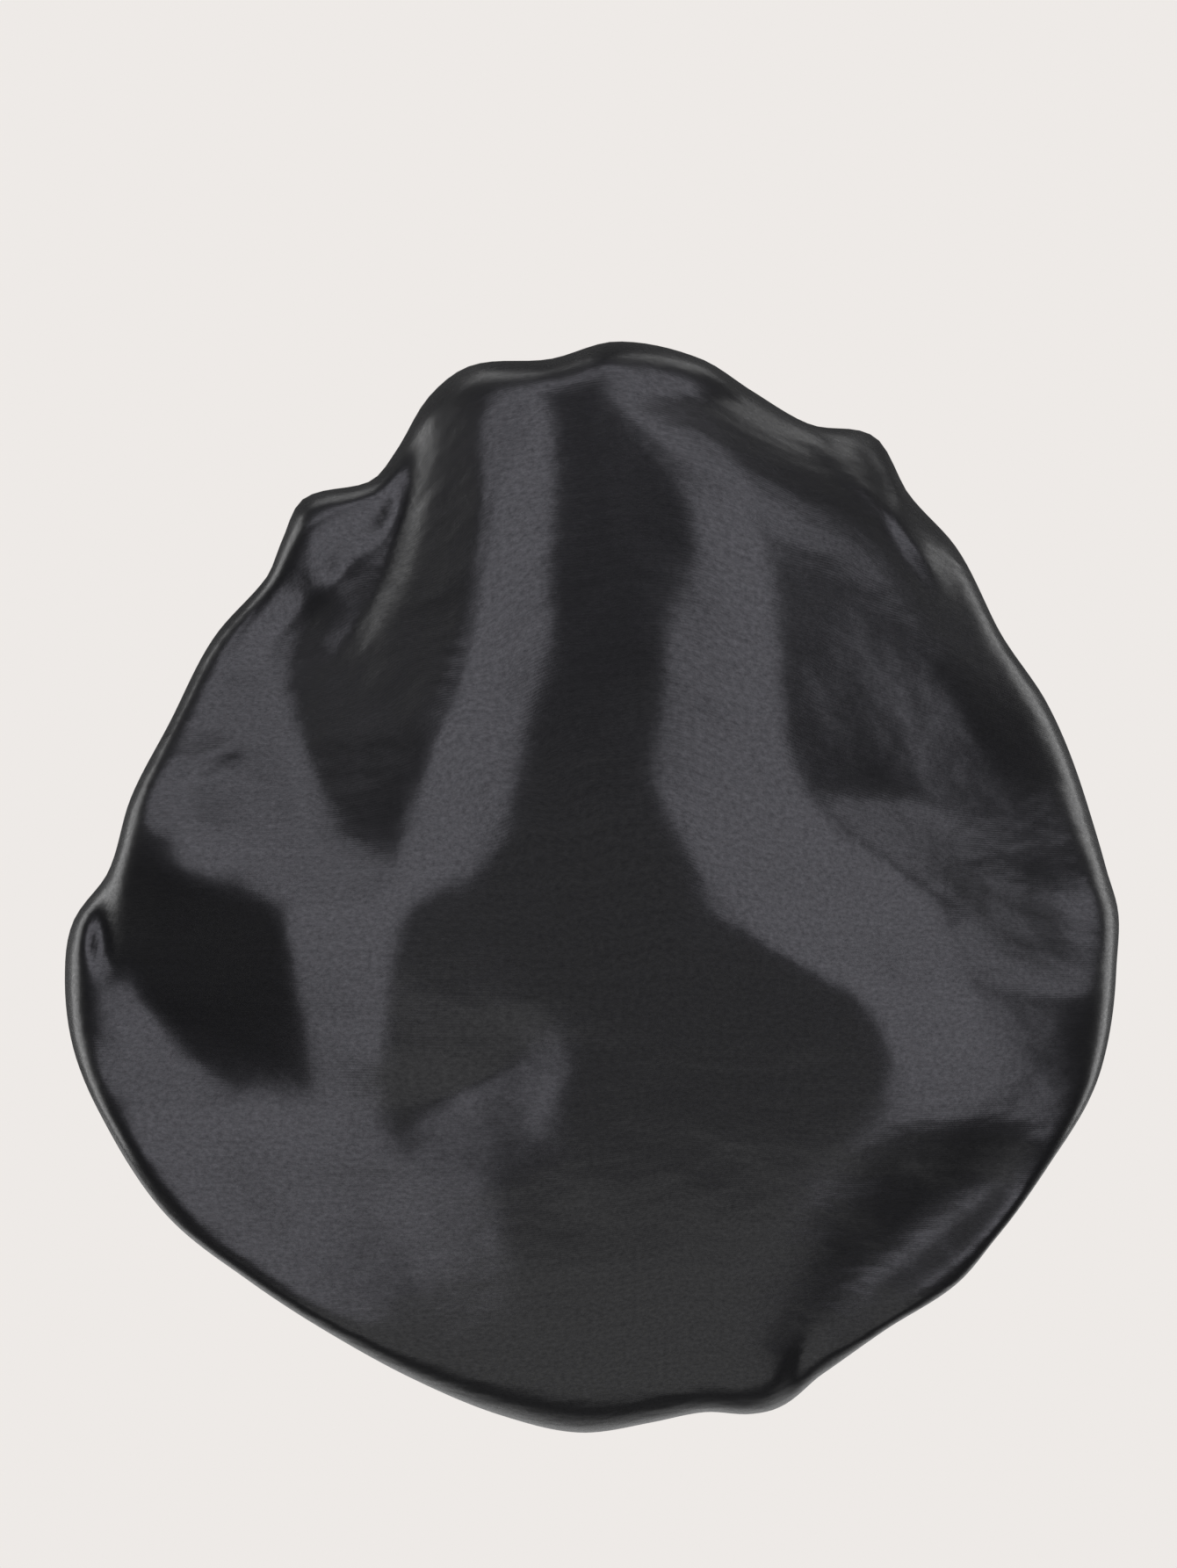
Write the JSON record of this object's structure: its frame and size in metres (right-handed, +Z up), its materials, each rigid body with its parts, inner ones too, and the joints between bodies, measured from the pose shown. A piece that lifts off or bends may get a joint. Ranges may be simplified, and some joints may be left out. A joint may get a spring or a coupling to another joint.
{
  "type": "hair bonnet",
  "caption": "Slouchy satin hair bonnet: a gathered two-layer crown that hangs as a loose pouch, sewn to a covered elastic band with a blank label inside.",
  "frame": {"origin": "middle of the head opening, on the band's mid height", "axes": "+Z up as worn, +Y the way the wearer faces, +X to the wearer's right; the head opening is tilted 40 degrees, high at the forehead"},
  "size_m": [0.3193, 0.2795, 0.3258],
  "materials": {
    "satin": "black satin with a soft sheen",
    "satin_lining": "black satin, dull side in",
    "elastic": "woven ribbed elastic",
    "thread": "polyester sewing thread",
    "label": "plain woven tape"
  },
  "bodies": {
    "band": {"crown_outer": "satin", "crown_lining": "satin_lining", "band_casing": "satin", "band_elastic": "elastic", "elastic_join_stitching": "thread", "topstitch_thread": "thread", "band_join_stitching": "thread", "seam_allowance": "satin", "overlock_thread": "thread", "gathering_thread": "thread", "label_stitching": "thread"},
    "pouch": {"crown_outer_pouch": "satin", "crown_lining_pouch": "satin_lining"},
    "label": {"care_label": "label"}
  },
  "joints": [
    {"name": "pouch_swing", "type": "hinge", "parent": "band", "child": "pouch", "pos_m": [0, -0.108, 0.153], "axis": [-1, 0, 0], "range_deg": [0, 10]},
    {"name": "label_flip", "type": "hinge", "parent": "band", "child": "label", "pos_m": [0, -0.08555, -0.04307], "axis": [1, 0, 0], "range_deg": [0, 80]}
  ]
}
